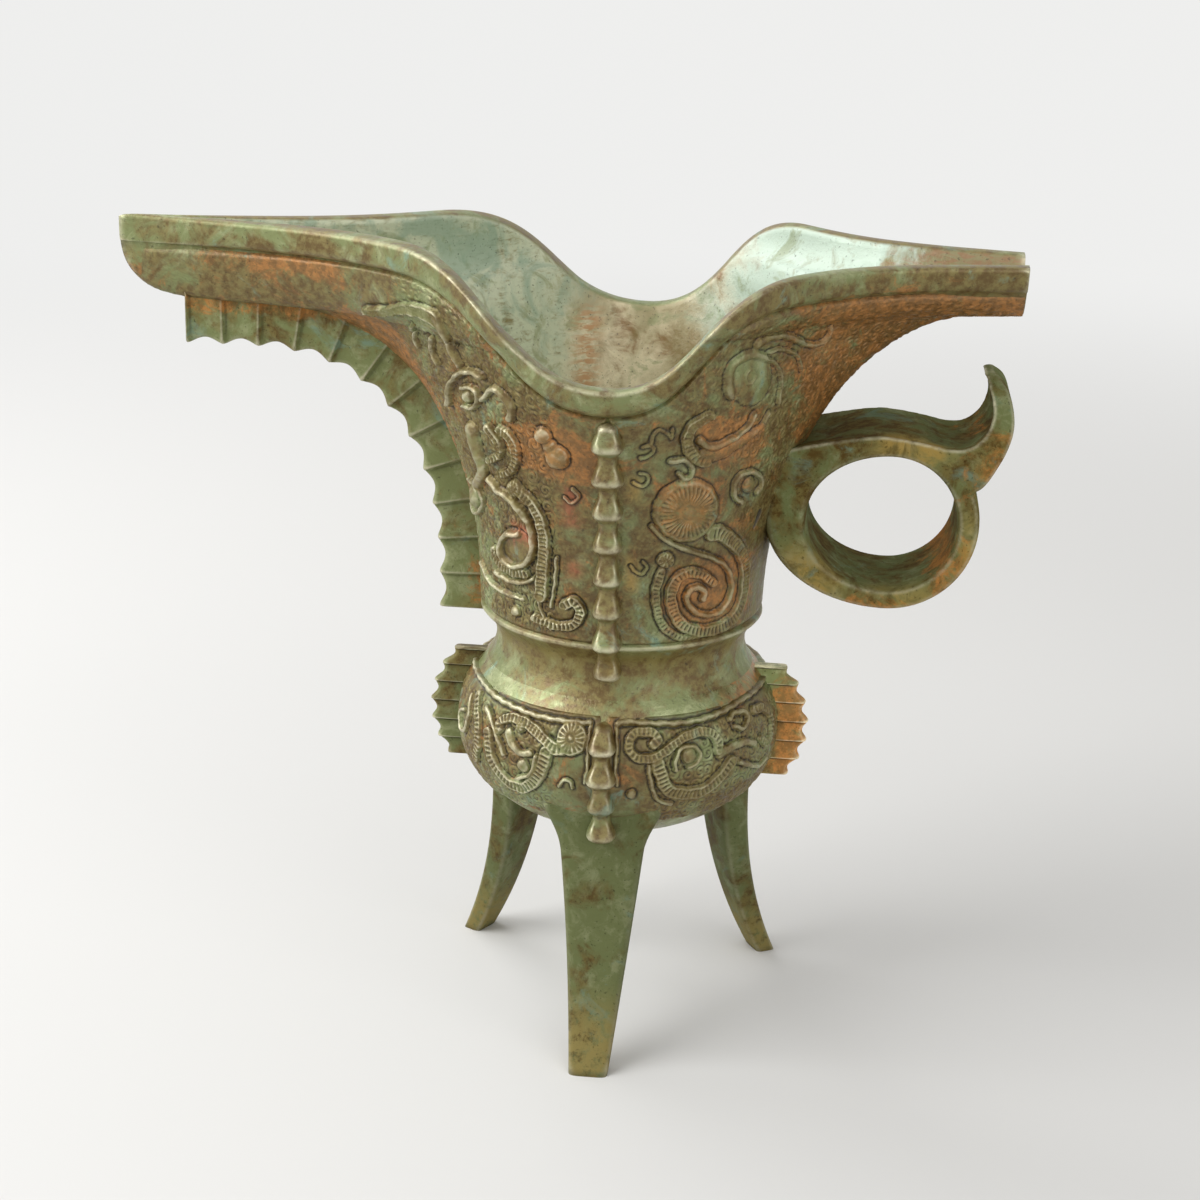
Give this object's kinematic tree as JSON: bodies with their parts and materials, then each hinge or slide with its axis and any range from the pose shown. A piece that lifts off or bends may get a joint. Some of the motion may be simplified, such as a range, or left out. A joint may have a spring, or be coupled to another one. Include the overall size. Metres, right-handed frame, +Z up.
{
  "type": "ritual wine vessel",
  "caption": "Bronze jue: flared wine cup with spout and tail over a round belly on splayed legs, with a ring handle, scalloped flanges and scroll relief.",
  "frame": {"origin": "point on the vessel's axis at the level that the three feet stand on", "axes": "+Z up, +X from the axis towards the tail and the handle, the spout along -X, the single front leg along -Y"},
  "size_m": [0.1602, 0.078, 0.1434],
  "materials": {
    "bronze": "patinated",
    "bronze_relief": "patinated"
  },
  "bodies": {
    "root": {"cup_shell": "bronze", "belly_bowl": "bronze", "leg_front": "bronze", "leg_rear_spout": "bronze", "leg_rear_tail": "bronze", "handle": "bronze", "spout_flange": "bronze", "cup_flange_front": "bronze_relief", "cup_flange_rear": "bronze_relief", "belly_flange_front": "bronze_relief", "belly_flange_rear": "bronze_relief", "belly_flange_spout": "bronze", "belly_flange_tail": "bronze", "cup_scroll_front_spout": "bronze_relief", "cup_scroll_front_tail": "bronze_relief", "cup_scroll_rear_spout": "bronze_relief", "cup_scroll_rear_tail": "bronze_relief", "belly_scroll_front_spout": "bronze_relief", "belly_scroll_front_tail": "bronze_relief", "belly_scroll_rear_spout": "bronze_relief", "belly_scroll_rear_tail": "bronze_relief"}
  },
  "joints": []
}
